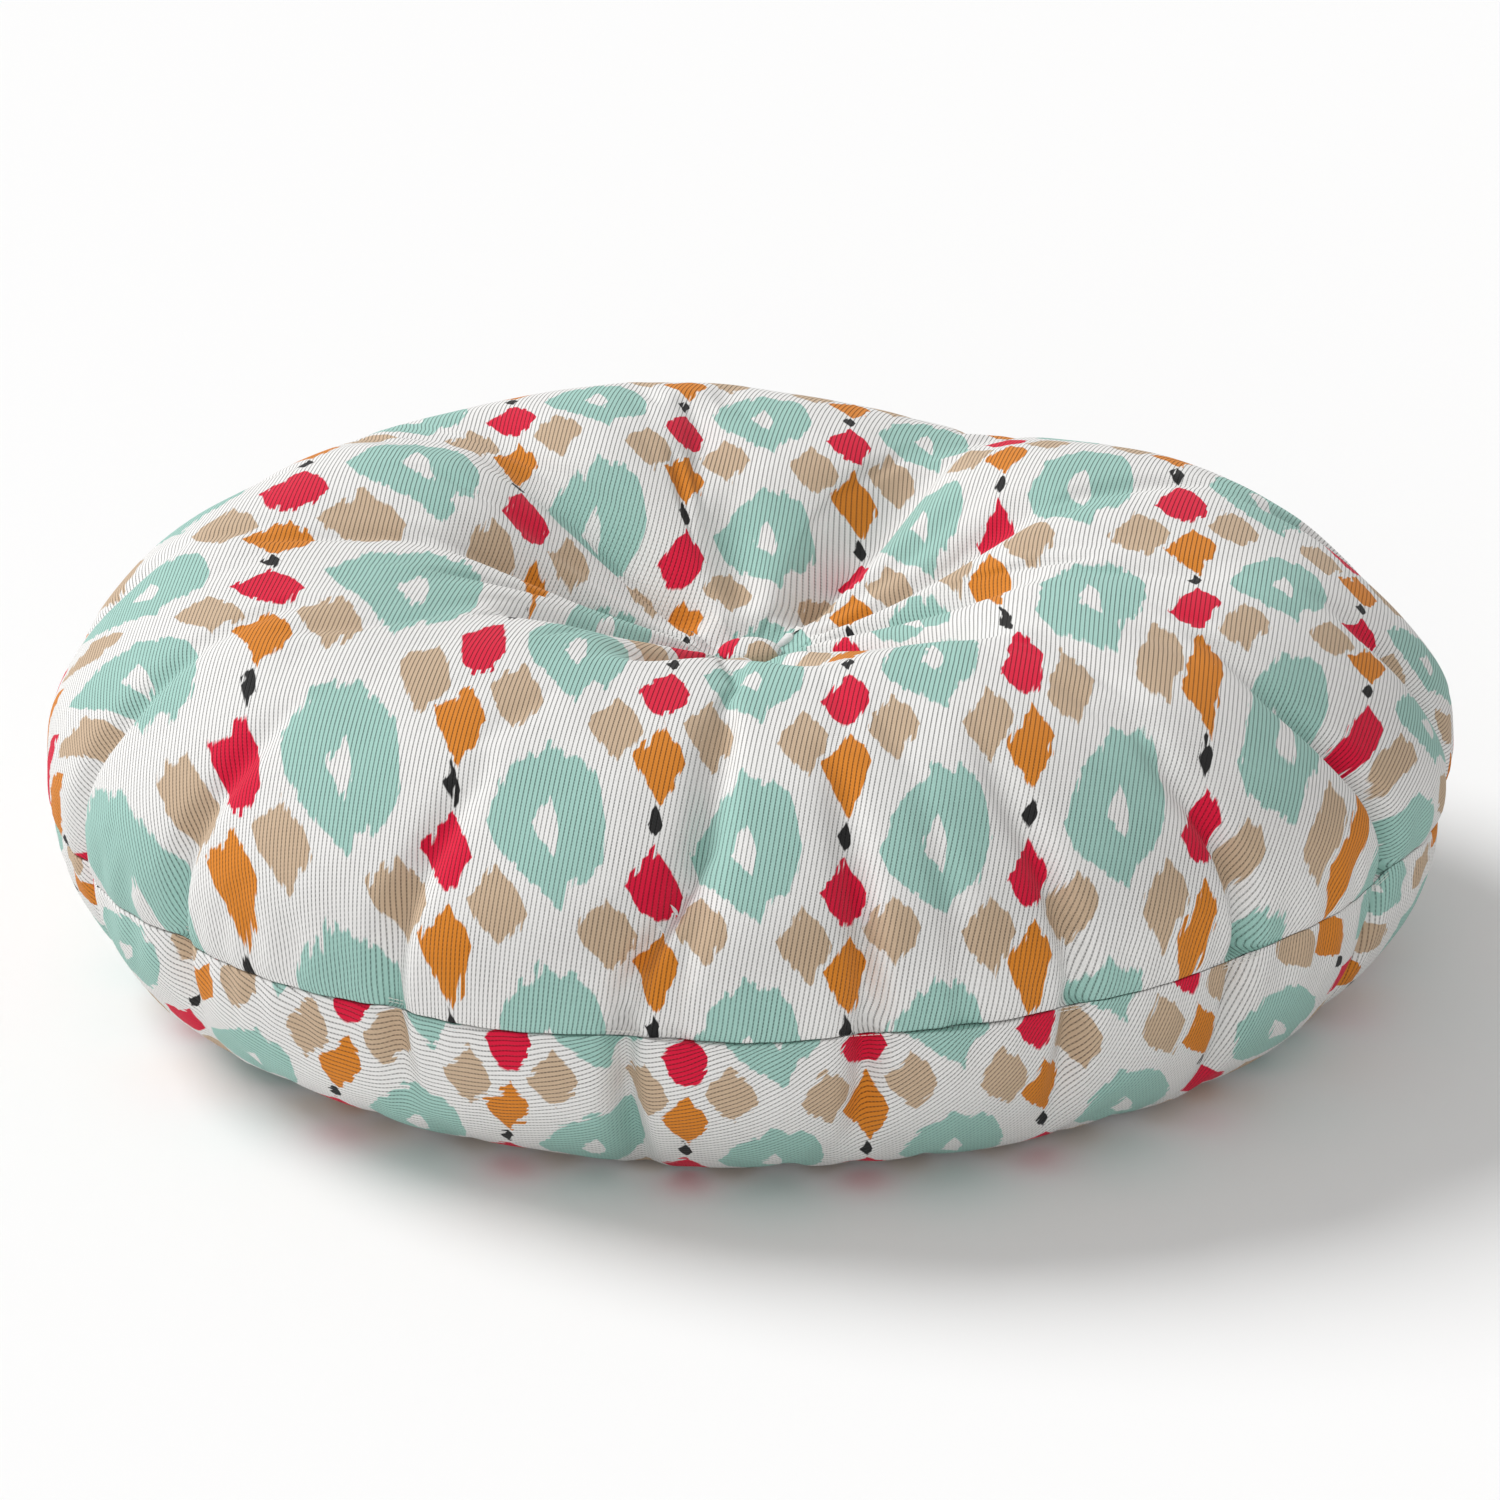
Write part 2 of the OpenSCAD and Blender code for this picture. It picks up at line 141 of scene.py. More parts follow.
# Gathers that run into the seam: direction, depth and half width of the crease in metres, the
# radius on the top where it starts, how far down the underside it reaches, and how far it turns
# to the right as it climbs, in radians
GATHERS = [
    (-142, 0.0095, 0.010, 0.270, 0.06, 0.03), (-119, 0.0105, 0.009, 0.262, 0.07, 0.03),
    (-100, 0.0200, 0.0075, 0.225, 0.14, 0.10), (-96, 0.0075, 0.006, 0.195, 0.00, 0.06),
    (-81, 0.0170, 0.0080, 0.258, 0.08, 0.00), (-73.6, 0.0060, 0.006, 0.248, 0.00, 0.00),
    (-64, 0.0135, 0.0080, 0.262, 0.08, -0.02), (-47, 0.0135, 0.0080, 0.272, 0.09, -0.02),
    (-26, 0.0200, 0.0080, 0.262, 0.12, -0.05), (-8, 0.0095, 0.010, 0.278, 0.07, 0.00),
    (14, 0.0110, 0.010, 0.262, 0.08, 0.03), (33, 0.0090, 0.009, 0.280, 0.06, -0.02),
    (45, 0.0060, 0.008, 0.290, 0.04, 0.01), (66, 0.0045, 0.010, 0.300, 0.03, 0.00),
    (92, 0.0050, 0.012, 0.295, 0.03, 0.02), (112, 0.0045, 0.010, 0.300, 0.03, -0.01),
    (137, 0.0095, 0.009, 0.270, 0.07, 0.03), (156, 0.0125, 0.009, 0.258, 0.09, -0.04),
    (174, 0.0090, 0.010, 0.275, 0.06, 0.02), (-160, 0.0110, 0.009, 0.262, 0.08, 0.02),
]
# Pleats that run out from the tuft: direction, depth, half width at 100 mm, outer end
PLEATS = [
    (134, 0.021, 0.018, 0.262), (58, 0.020, 0.018, 0.258), (96, 0.007, 0.014, 0.185),
    (20, 0.013, 0.015, 0.215), (-12, 0.010, 0.013, 0.190), (-44, 0.014, 0.013, 0.205),
    (-78, 0.011, 0.012, 0.180), (-112, 0.014, 0.013, 0.195), (-146, 0.011, 0.013, 0.200),
    (176, 0.014, 0.016, 0.225), (156, 0.007, 0.011, 0.175), (36, 0.007, 0.011, 0.170),
]
# The lower front stands out a little under the seam
UNDER_SWELL = 0.0045
# Lumps of the filling: width, seed and height
LUMPS = [(0.075, 3.1, 0.0022), (0.028, 8.7, 0.0007)]
# Height of the small puckers along the stitched seam
PUCKER = 0.0011


def zip_openness(theta):
    """1 where the slot for the zip is fully open, 0 where the seam is stitched."""
    off_centre = np.abs(turn_from(theta, 90))
    return 1 - smooth(off_centre, ZIP_HALF_ANGLE - 0.009, ZIP_HALF_ANGLE + 0.009)


def seam_shift(theta):
    return SEAM_LIFT * np.cos(theta) * (1 - smooth(np.sin(theta), 0.1, 0.6))


def slow_noise(points, scale, seed):
    """Smooth noise, about -1 to 1, at each point of an array that ends in x, y, z."""
    flat = points.reshape(-1, 3) / scale
    values = [noise.noise(Vector((x, y, z + seed))) for x, y, z in flat]
    return np.array(values).reshape(points.shape[:-1])


def gather_depth(theta, r, arc, is_top):
    """How far the surface is drawn in by the gathers along the seam."""
    total = np.zeros_like(r)
    for degrees, depth, width, start_r, reach, lean in GATHERS:
        across = turn_from(theta, degrees)
        if is_top:
            rise = 1 - smooth(arc, 0.04, 0.05 + (SEAM_R - start_r) * 1.7)
            across = across - lean * smooth(arc, 0.0, 0.13)
        elif reach > 0:
            rise = 1 - smooth(arc, reach * 0.25, reach)
        else:
            continue
        x = r * across
        crease = bell(x, width * (0.7 + 2.0 * arc)) + 0.30 * bell(x, 0.034)
        total += depth * rise * crease
    return total


def pleat_depth(theta, r):
    """How far the top is drawn in by the pleats that start at the tuft."""
    total = np.zeros_like(r)
    for degrees, depth, width, end_r in PLEATS:
        x = r * (turn_from(theta, degrees) + 0.25 * (r - 0.1) * math.sin(degrees * 3.0))
        rise = smooth(r, 0.012, 0.055) * (1 - smooth(r, end_r * 0.55, end_r))
        total += depth * rise * bell(x, width * (0.35 + 6.5 * r))
    return total


def panel(section, rings, is_top):
    """Grid [ring, segment, xyz] of a panel's outer face, with its arc length from the seam."""
    steps = np.hypot(*np.diff(section, axis=0).T)
    arc = np.concatenate([[0], np.cumsum(steps)])
    slope = np.gradient(section, axis=0)
    normal = np.stack([slope[:, 1], -slope[:, 0]], 1) * (1 if is_top else -1)
    normal /= np.linalg.norm(normal, axis=1)[:, None]
    # At the zip the panel starts at the edge of the slot
    edge_z = SEAM_Z + (SLOT_HALF + 0.0004) * (1 if is_top else -1)
    order = slice(0, LIP_POINTS)
    z_near = section[order, 1] if is_top else section[order, 1][::-1]
    arc_near = arc[order] if is_top else arc[order][::-1]
    slot_arc = np.interp(edge_z, z_near, arc_near)
    first = SEAM_GAP + (slot_arc - SEAM_GAP) * zip_openness(angles)
    part = np.linspace(0, 1, rings)[:, None]
    s = first + (arc[-1] - first) * part
    theta = np.broadcast_to(angles, s.shape)
    r = np.interp(s, arc, section[:, 0])
    z = np.interp(s, arc, section[:, 1])
    nr = np.interp(s, arc, normal[:, 0])
    nz = np.interp(s, arc, normal[:, 1])

    side = bell(z - SEAM_Z, 0.07)
    for degrees, spread, amount in SIDE_SWELLS:
        r = r + amount * bell(turn_from(theta, degrees), math.radians(spread)) * side
    z = z + seam_shift(theta) * bell(z - SEAM_Z, 0.035)
    if is_top:
        raised = smooth(z, 0.12, 0.20) * smooth(r, 0.03, 0.16)
        for degrees, spread, amount in CREST_SWELLS:
            z = z + amount * bell(turn_from(theta, degrees), math.radians(spread)) * raised
    if not is_top:
        r = r + UNDER_SWELL * bell(z - 0.045, 0.032) * bell(turn_from(theta, -90), 1.2)
    draw = gather_depth(theta, r, s, is_top) * (1 - 0.75 * zip_openness(theta) * (s < 0.05))
    if is_top:
        draw = draw + pleat_depth(theta, r)
    base = np.stack([r * np.cos(theta), r * np.sin(theta), z], 2)
    lumps = sum(slow_noise(base, scale, seed) * height for scale, seed, height in LUMPS)
    free = smooth(s, 0.0, 0.03) * smooth(r, SEAT_R, 0.06)
    pucker = PUCKER * np.sin(theta * 97 + 2 * np.sin(theta * 13)) * bell(s - 0.010, 0.012)
    crease = SEAM_CREASE * bell(s, 0.0045)
    pucker = (pucker - crease) * (1 - zip_openness(theta))
    out = -draw + lumps * free + pucker
    outward = np.stack([nr * np.cos(theta), nr * np.sin(theta), nz], 2)
    grid = base + outward * out[..., None]
    grid[..., 2] = np.maximum(grid[..., 2], 0.0)
    return grid, s


top_grid, top_arc = panel(top_section(), TOP_RINGS, True)
bottom_grid, bottom_arc = panel(bottom_section(), BOTTOM_RINGS, False)


# ---- Cloth simulation: the filling pushes the sewn cover out, and it puckers ----

def add_mesh(name, points, faces):
    mesh = bpy.data.meshes.new(name)
    mesh.from_pydata([tuple(p) for p in points], [], faces)
    mesh.update()
    obj = bpy.data.objects.new(name, mesh)
    bpy.context.scene.collection.objects.link(obj)
    return obj


def grid_faces(rings, first=0, outward=True):
    """Quads between the rings of a grid whose segments run round."""
    faces = []
    for i in range(rings - 1):
        for j in range(SEGMENTS):
            k = (j + 1) % SEGMENTS
            a, b = first + i * SEGMENTS, first + (i + 1) * SEGMENTS
            quad = (a + j, a + k, b + k, b + j)
            faces.append(quad if outward else quad[::-1])
    return faces


# What the crest settles by, and how far the cloth may move: anywhere, and less at the zip
CREST_SETTLE = 0.010
MOVE_CAP = 0.012
LESS_AT_ZIP = 0.009
LAST_FRAME = 20


def relaxed(top, bottom):
    """The two panels after the cloth simulation, with each point's move capped."""
    points = np.concatenate([top.reshape(-1, 3), bottom.reshape(-1, 3)])
    half = top.shape[0] * SEGMENTS
    faces = grid_faces(top.shape[0]) + grid_faces(bottom.shape[0], half, outward=False)
    faces += [(half + j, half + (j + 1) % SEGMENTS, (j + 1) % SEGMENTS, j) for j in range(SEGMENTS)]
    faces.append(tuple(range(half - SEGMENTS, half)))
    faces.append(tuple(reversed(range(len(points) - SEGMENTS, len(points)))))
    body = add_mesh("cloth_body", points, faces)
    r = np.hypot(points[:, 0], points[:, 1])
    arcs = np.concatenate([top_arc.reshape(-1), bottom_arc.reshape(-1)])
    theta = np.arctan2(points[:, 1], points[:, 0])
    # the seam, the tuft, the zip's slot and the flat base stay where they are
    held = (arcs < 0.002) | (r < SEAT_R + 0.004) | ((zip_openness(theta) > 0.02) & (arcs < 0.022))
    held |= (points[:, 2] < 0.0008) & (r < BASE_R)
    pins = body.vertex_groups.new(name="held")
    pins.add([int(i) for i in np.nonzero(held)[0]], 1.0, "REPLACE")
    cloth = body.modifiers.new("Cloth", "CLOTH")
    settings = cloth.settings
    settings.quality = 5
    settings.mass = 0.3
    settings.tension_stiffness = 12
    settings.compression_stiffness = 12
    settings.shear_stiffness = 4
    settings.bending_stiffness = 0.4
    settings.use_pressure = True
    settings.uniform_pressure_force = 4
    settings.shrink_min = -0.022
    settings.vertex_group_mass = "held"
    settings.effector_weights.gravity = 0
    cloth.point_cache.frame_start = 1
    cloth.point_cache.frame_end = LAST_FRAME
    scene = bpy.context.scene
    for step in range(1, LAST_FRAME + 1):
        scene.frame_set(step)
    result = body.evaluated_get(bpy.context.evaluated_depsgraph_get()).data
    moved = np.zeros(len(points) * 3, np.float32)
    result.vertices.foreach_get("co", moved)
    move = moved.reshape(-1, 3) - points
    length = np.linalg.norm(move, axis=1)
    near_zip = zip_openness(theta) * bell(arcs, 0.06)
    cap = MOVE_CAP - LESS_AT_ZIP * near_zip
    move *= np.minimum(1, cap / np.maximum(length, 1e-9))[:, None]
    move *= smooth(arcs, 0.002, 0.02)[:, None]
    mesh = body.data
    bpy.data.objects.remove(body)
    bpy.data.meshes.remove(mesh)
    scene.frame_set(1)
    points = points + move
    # the pressure lifts the whole crest, which the cushion's own weight takes back
    points[:, 2] -= CREST_SETTLE * smooth(points[:, 2], 0.12, 0.20) * smooth(r, 0.02, 0.14)
    points[:, 2] = np.maximum(points[:, 2], 0.0)
    return points[:half].reshape(top.shape), points[half:].reshape(bottom.shape)


top_grid, bottom_grid = relaxed(top_grid, bottom_grid)


# ---- Print: columns and rows of the repeat, laid over the two panels ----

COLUMN_PITCH = 0.0901
COLUMN_START = 2.494
COLUMN_STRETCH = (3.1, -12.0)
COLUMN_BACK_SHIFT = (-0.110, 0.47)
# Beside the hollow the columns spread apart: place along u, and how much
COLUMN_SPREADS = [(-0.20, 0.28), (0.19, 0.22)]
SPREAD_WIDTH = 0.085
ROW_PITCH = 0.1214
ROW_START = -1.8145
ROW_SKEW = -0.245
# Over the hollow the fabric is drawn down, and the rows open out
ROW_SEAT_STRETCH = 1.19
# Where the front of the crest has sunk, the rows lie further back
ROW_FRONT_SHIFT = 0.33
# Rows curve forward round the front rim, and less so at the back
ROW_BOW = 15.3
ROW_BOW_AT_BACK = 0.26
# The two ends of the hollow's front fold, where one row of the print ends between its neighbours
FOLD_ENDS = (-0.085, 0.095)
FOLD_V = -0.06
UNDER_ROW_PITCH = 0.095
UNDER_COLUMN_PITCH = 0.083
UNDER_COLUMN_START = 0.35
UNDER_ROW_BOW = 17.0


def flat_place(r, theta, flat_r):
    """Place in the flat cut, with the fullness taken up towards the axes so that columns stay straight."""
    extra = flat_r - r
    return r * np.cos(theta) + extra * np.cos(theta) ** 3, r * np.sin(theta) + extra * np.sin(theta) ** 3


def row_bow(u, v):
    return ROW_BOW * u ** 2 * (1 - (1 - ROW_BOW_AT_BACK) * smooth(v, -0.15, 0.05))


def folded_row(u, v):
    """The row that goes in only between the two ends of the front fold, as a share of a row."""
    left = np.arctan2(v - FOLD_V, u - FOLD_ENDS[0])
    right = np.arctan2(v - FOLD_V, u - FOLD_ENDS[1])
    return (right - left) / (2 * math.pi)


def top_print(u, v):
    column = COLUMN_START + u / COLUMN_PITCH + COLUMN_STRETCH[0] * u ** 2 + COLUMN_STRETCH[1] * u ** 3
    column += (COLUMN_BACK_SHIFT[0] + COLUMN_BACK_SHIFT[1] * u) * smooth(v, -0.33, -0.03)
    for middle, amount in COLUMN_SPREADS:
        off = (u - middle) / SPREAD_WIDTH
        column -= amount * off * np.exp(-off ** 2) * bell(v + 0.02, 0.10)
    row = ROW_START - v / ROW_PITCH + ROW_SKEW * u
    row += ROW_FRONT_SHIFT * bell(v + 0.12, 0.14) * bell(u, 0.25)
    centre = bell(u, 0.11)
    row += ROW_SEAT_STRETCH * (centre * smooth(v, -0.18, 0.04) + (1 - centre) * smooth(v, -0.26, 0.18))
    return column, row + row_bow(u, v) + folded_row(u, v)


def bottom_print(u, v, flat_edge):
    column = UNDER_COLUMN_START + u / UNDER_COLUMN_PITCH
    fade = 1 - smooth(v, -0.30, 0.30)
    row = (flat_edge + v - 0.008) / UNDER_ROW_PITCH - UNDER_ROW_BOW * u ** 2 * fade
    return column, row


def turned_in(grid, is_top):
    """Rings that lead from the panel's edge in to its hidden allowance or hem."""
    sign = 1 if is_top else -1
    edge = grid[0]
    theta = angles
    edge_r = np.hypot(edge[:, 0], edge[:, 1])
    opened = zip_openness(theta)
    shift = seam_shift(theta)
    pressed = shift + sign * 0.0003
    stitched = [(SEAM_R - 0.0078, pressed), (SEAM_R - 0.0042, pressed), (SEAM_R - 0.0016, pressed),
                (edge_r - 0.0004, pressed)]
    hem_r = TAPE_OUT_R + 0.0003
    at_zip = [(hem_r, sign * (SLOT_HALF + HEM_W)), (hem_r, sign * (SLOT_HALF + 0.0020)),
              (hem_r + 0.0006, sign * (SLOT_HALF + 0.0002)), (edge_r - 0.0012, sign * (SLOT_HALF + 0.0001))]
    rings = []
    for (r_a, z_a), (r_b, z_b) in zip(stitched, at_zip):
        r = r_a + (r_b - r_a) * opened
        z = SEAM_Z + z_a + (z_b - z_a) * opened
        rings.append(np.stack([r * np.cos(theta), r * np.sin(theta), z], 1))
    return np.concatenate([np.array(rings), grid])


def set_layer(obj, name, values_u, values_v, whole_steps=False):
    """Stores a coordinate pair per vertex. With whole_steps, v may jump by whole numbers between
    neighbours, and each face takes the values nearest to those of its first corner."""
    layer = obj.data.uv_layers.new(name=name)
    loops = np.zeros(len(obj.data.loops), np.int32)
    obj.data.loops.foreach_get("vertex_index", loops)
    coords = np.stack([values_u.reshape(-1)[loops], values_v.reshape(-1)[loops]], 1)
    if whole_steps:
        corners = coords[:, 1].reshape(-1, 4)
        corners -= np.round(corners - corners[:, :1])
    layer.data.foreach_set("uv", coords.astype(np.float32).reshape(-1))


def shade_smooth(obj):
    obj.data.polygons.foreach_set("use_smooth", [True] * len(obj.data.polygons))


def cover_panel(name, grid, arc, is_top):
    """A printed panel with its turned-in edge, its two UV layers and one subdivision."""
    full = turned_in(grid, is_top)
    extra_rings = full.shape[0] - grid.shape[0]
    obj = add_mesh(name, full.reshape(-1, 3), grid_faces(full.shape[0], outward=is_top))
    steps = np.arange(extra_rings, 0, -1)[:, None] * 0.002
    arc_all = np.concatenate([arc[:1] - steps, arc])
    # the print follows the section before it was gathered, so that creases don't tear it
    section = top_section() if is_top else bottom_section()
    lengths = np.concatenate([[0], np.cumsum(np.hypot(*np.diff(section, axis=0).T))])
    r = np.interp(arc_all, lengths, section[:, 0])
    flat_r = lengths[-1] - arc_all + BORE_R
    theta = np.broadcast_to(angles, r.shape)
    u, v = flat_place(r, theta, flat_r)
    set_layer(obj, "Weave", u, v)
    if is_top:
        column, row = top_print(u, v)
    else:
        column, row = bottom_print(u, v, lengths[-1] + BORE_R)
    set_layer(obj, "Print", column, row, whole_steps=True)
    shade_smooth(obj)
    rounder = obj.modifiers.new("Smoother", "SUBSURF")
    rounder.levels = 1
    rounder.render_levels = 1
    rounder.uv_smooth = "NONE"
    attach(obj, "cushion")
    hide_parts("cover_top_panel" if is_top else "cover_bottom_panel")
    return obj


cover_top = cover_panel("Cover_top", top_grid, top_arc, True)
cover_bottom = cover_panel("Cover_bottom", bottom_grid, bottom_arc, False)


# ---- Lining and filling: the same shape, drawn in ----

LINING_GAP = 0.0020
FILLING_GAP = 0.0034
ZIP_ROOM = 0.0115


def inset(grid, arc, gap):
    """The grid's outward normals, and the depth to move in by: gap, and more near the seam and zip."""
    step_ring = np.gradient(grid, axis=0)
    step_turn = np.roll(grid, -1, axis=1) - np.roll(grid, 1, axis=1)
    outward = np.cross(step_turn, step_ring)
    outward /= np.maximum(np.linalg.norm(outward, axis=2), 1e-9)[..., None]
    return outward, gap + ZIP_ROOM * bell(arc, 0.055)


def lining_shell(name, node, is_top):
    grid, arc = (top_grid, top_arc) if is_top else (bottom_grid, bottom_arc)
    outward, depth = inset(grid, arc, LINING_GAP)
    sign = 1 if is_top else -1
    inner = grid - sign * outward * depth[..., None]
    if not is_top:
        inner[..., 2] = np.maximum(inner[..., 2], LINING_GAP)
    inner[0, :, 2] = SEAM_Z + seam_shift(angles)
    obj = add_mesh(name, inner.reshape(-1, 3), grid_faces(inner.shape[0], outward=is_top))
    shade_smooth(obj)
    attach(obj, "cushion")
    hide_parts(node)
    return obj


liner_top = lining_shell("Lining_top", "liner_top_panel", True)
liner_bottom = lining_shell("Lining_bottom", "liner_bottom_panel", False)


def fibre_filling():
    parts = []
    for grid, arc, sign in ((top_grid, top_arc, 1), (bottom_grid, bottom_arc, -1)):
        outward, depth = inset(grid, arc, FILLING_GAP)
        inner = grid - sign * outward * depth[..., None]
        inner = inner[::2]
        if sign < 0:
            inner[..., 2] = np.maximum(inner[..., 2], FILLING_GAP)
        parts.append(inner)
    top, bottom = parts
    top[0, :, 2] = SEAM_Z + 0.0005 + seam_shift(angles)
    bottom[0, :, 2] = SEAM_Z - 0.0005 + seam_shift(angles)
    half = top.shape[0] * SEGMENTS
    points = np.concatenate([top.reshape(-1, 3), bottom.reshape(-1, 3)])
    faces = grid_faces(top.shape[0]) + grid_faces(bottom.shape[0], half, outward=False)
    faces += [(half + j, half + (j + 1) % SEGMENTS, (j + 1) % SEGMENTS, j) for j in range(SEGMENTS)]
    low = len(points) - SEGMENTS
    inmost = half - SEGMENTS
    faces += [(inmost + j, inmost + (j + 1) % SEGMENTS, low + (j + 1) % SEGMENTS, low + j)
              for j in range(SEGMENTS)]
    obj = add_mesh("Filling", points, faces)
    shade_smooth(obj)
    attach(obj, "cushion")
    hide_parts("fibre_filling")
    return obj


filling = fibre_filling()


# ---- Covered buttons ----

def covered_button(name, node, seat_z, up):
    """Fabric drawn over a domed shell: a dome with small gathers round its rim, turned under."""
    segments, rings = 96, 15
    points, print_at, faces = [], [], []
    for i in range(rings):
        part = i / (rings - 1)
        for j in range(segments):
            a = 2 * math.pi * j / segments
            if part < 0.75:
                lean = part / 0.75 * math.pi / 2
                r = BUTTON_R * math.sin(lean) if i else 0.0002
                z = 0.0006 + (BUTTON_RISE - 0.0006) * math.cos(lean)
            else:
                r = BUTTON_R - 0.0015 - (part - 0.75) / 0.25 * 0.0022
                z = 0.0003
            gather = 0.00035 * math.sin(a * 24) * smooth(part, 0.45, 0.8)
            r = r + gather * (r > 0.001)
            points.append((r * math.cos(a), r * math.sin(a), seat_z + up * z))
            print_at.append((r * math.cos(a), r * math.sin(a)))
    for i in range(rings - 1):
        for j in range(segments):
            k = (j + 1) % segments
            quad = (i * segments + j, (i + 1) * segments + j, (i + 1) * segments + k, i * segments + k)
            faces.append(quad if up > 0 else quad[::-1])
    faces.append(tuple(range(segments)) if up > 0 else tuple(reversed(range(segments))))
    obj = add_mesh(name, points, faces)
    place = np.array(print_at)
    set_layer(obj, "Weave", place[:, 0], place[:, 1])
    set_layer(obj, "Print", 0.18 + place[:, 0] / COLUMN_PITCH, 0.05 - place[:, 1] / ROW_PITCH)
    shade_smooth(obj)
    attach(obj, "cushion")
    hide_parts(node)
    return obj


button_top = covered_button("Button_top_fabric", "top_button_fabric", TUFT_Z, 1)
button_bottom = covered_button("Button_bottom_fabric", "bottom_button_fabric", UNDER_TUFT_Z, -1)


# ---- Zip: woven tapes, toothed coils, rows of stitches ----

def woven_tape(name, z_low, z_high, node):
    """A curved strip along the zip, closed all round, with the fine ridges of a woven tape."""
    r_in, r_out = TAPE_OUT_R - TAPE_T, TAPE_OUT_R
    across = 25
    steps = 240
    ridge = 0.00008
    loop = [(r_out, z_low + (z_high - z_low) * i / across, 1) for i in range(across + 1)]
    loop += [(r_in, z_high - (z_high - z_low) * i / across, -1) for i in range(across + 1)]
    points, faces = [], []
    for step in range(steps + 1):
        a = math.pi / 2 - ZIP_HALF_ANGLE + 2 * ZIP_HALF_ANGLE * step / steps
        for i, (r, z, side) in enumerate(loop):
            r = r - side * ridge * (i % 2)
            points.append((r * math.cos(a), r * math.sin(a), z))
    size = len(loop)
    for step in range(steps):
        for i in range(size):
            k = (i + 1) % size
            a, b = step * size, (step + 1) * size
            faces.append((a + i, b + i, b + k, a + k))
    faces.append(tuple(range(size)))
    faces.append(tuple(reversed(range(steps * size, (steps + 1) * size))))
    obj = add_mesh(name, points, faces)
    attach(obj, "cushion")
    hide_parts(node)
    return obj


tape_near, tape_far = SEAM_Z + TAPE_SPLIT_HALF, SEAM_Z + TAPE_SPLIT_HALF + TAPE_W
upper_tape = woven_tape("Zip_upper_tape", tape_near, tape_far, "zip_upper_tape")
lower_tape = woven_tape("Zip_lower_tape", 2 * SEAM_Z - tape_far, 2 * SEAM_Z - tape_near, "zip_lower_tape")


def tube(path, radius, sides):
    """Points and faces of a round tube along a path, with flat ends."""
    path = np.array(path)
    along = np.gradient(path, axis=0)
    along /= np.linalg.norm(along, axis=1)[:, None]
    aside = np.cross(along, (0.13, 0.21, 0.97))
    aside /= np.linalg.norm(aside, axis=1)[:, None]
    upward = np.cross(aside, along)
    turn = np.arange(sides) * 2 * math.pi / sides
    spoke = aside[:, None] * np.cos(turn)[:, None] + upward[:, None] * np.sin(turn)[:, None]
    points = path[:, None] + radius * spoke
    count = len(path)
    faces = []
    for i in range(count - 1):
        for j in range(sides):
            k = (j + 1) % sides
            faces.append((i * sides + j, (i + 1) * sides + j, (i + 1) * sides + k, i * sides + k))
    faces.append(tuple(range(sides)))
    faces.append(tuple(reversed(range((count - 1) * sides, count * sides))))
    return points.reshape(-1, 3), faces


def toothed_coil(name, node, sign):
    """A coil of thick monofilament, its round turns lying against the tape."""
    wire = 0.00035
    pitch = 0.0016
    centre_r = TAPE_OUT_R + COIL_D / 2
    centre_z = SEAM_Z + sign * (TAPE_SPLIT_HALF + COIL_D / 2)
    length = 2 * COIL_HALF_ANGLE * centre_r
    turns = int(length / pitch)
    per_turn = 12
    reach = COIL_D / 2 - wire
    path = []
    for i in range(turns * per_turn + 1):
        part = i / (turns * per_turn)
        a = math.pi / 2 - COIL_HALF_ANGLE + 2 * COIL_HALF_ANGLE * part
        spin = 2 * math.pi * i / per_turn
        r = centre_r + reach * math.sin(spin)
        z = centre_z + reach * math.cos(spin)
        path.append((r * math.cos(a), r * math.sin(a), z))
    points, faces = tube(path, wire, sides=5)
    obj = add_mesh(name, points, faces)
    shade_smooth(obj)
    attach(obj, "cushion")
    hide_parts(node)
    return obj


upper_coil = toothed_coil("Zip_upper_coil", "zip_upper_coil", 1)
lower_coil = toothed_coil("Zip_lower_coil", "zip_lower_coil", -1)


STITCH_PITCH = 0.0032
THREAD_R = 0.0002


def stitches(name, node, rows, from_angle, to_angle):
    """Separate stitches along rows (radius, z): each a short thread that dips at both ends."""
    points, faces = [], []
    for r, z in rows:
        count = int((to_angle - from_angle) * r / STITCH_PITCH)
        for i in range(count):
            start = from_angle + (to_angle - from_angle) * i / count
            span = (to_angle - from_angle) / count * 0.8
            path = []
            for t in (0, 0.2, 0.5, 0.8, 1):
                a = start + span * t
                path.append((r * math.cos(a), r * math.sin(a), z + 0.00012 * math.sin(math.pi * t)))
            tube_points, tube_faces = tube(path, THREAD_R, 4)
            shift = len(points) * len(tube_points)
            points.append(tube_points)
            faces += [tuple(f + shift for f in face) for face in tube_faces]
    obj = add_mesh(name, np.concatenate(points), faces)
    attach(obj, "cushion")
    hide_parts(node)
    return obj


SEAM_STITCH_R = 0.3405
LINING_STITCH_R = 0.3330
STITCH_HALF_GAP = 0.0008
zip_start, zip_end = math.pi / 2 - ZIP_HALF_ANGLE, math.pi / 2 + ZIP_HALF_ANGLE
zip_row = SLOT_HALF + HEM_W / 2
zip_row_r = TAPE_OUT_R - TAPE_T - 0.0002
zip_stitches = stitches("Zip_stitching", "zip_stitching",
                        [(zip_row_r, SEAM_Z + zip_row), (zip_row_r, SEAM_Z - zip_row)],
                        zip_start, zip_end)
seam_rows = [(SEAM_STITCH_R, SEAM_Z + STITCH_HALF_GAP), (SEAM_STITCH_R, SEAM_Z - STITCH_HALF_GAP)]
seam_stitches = stitches("Seam_stitching", "cover_seam_stitching", seam_rows,
                         zip_end, zip_start + 2 * math.pi)
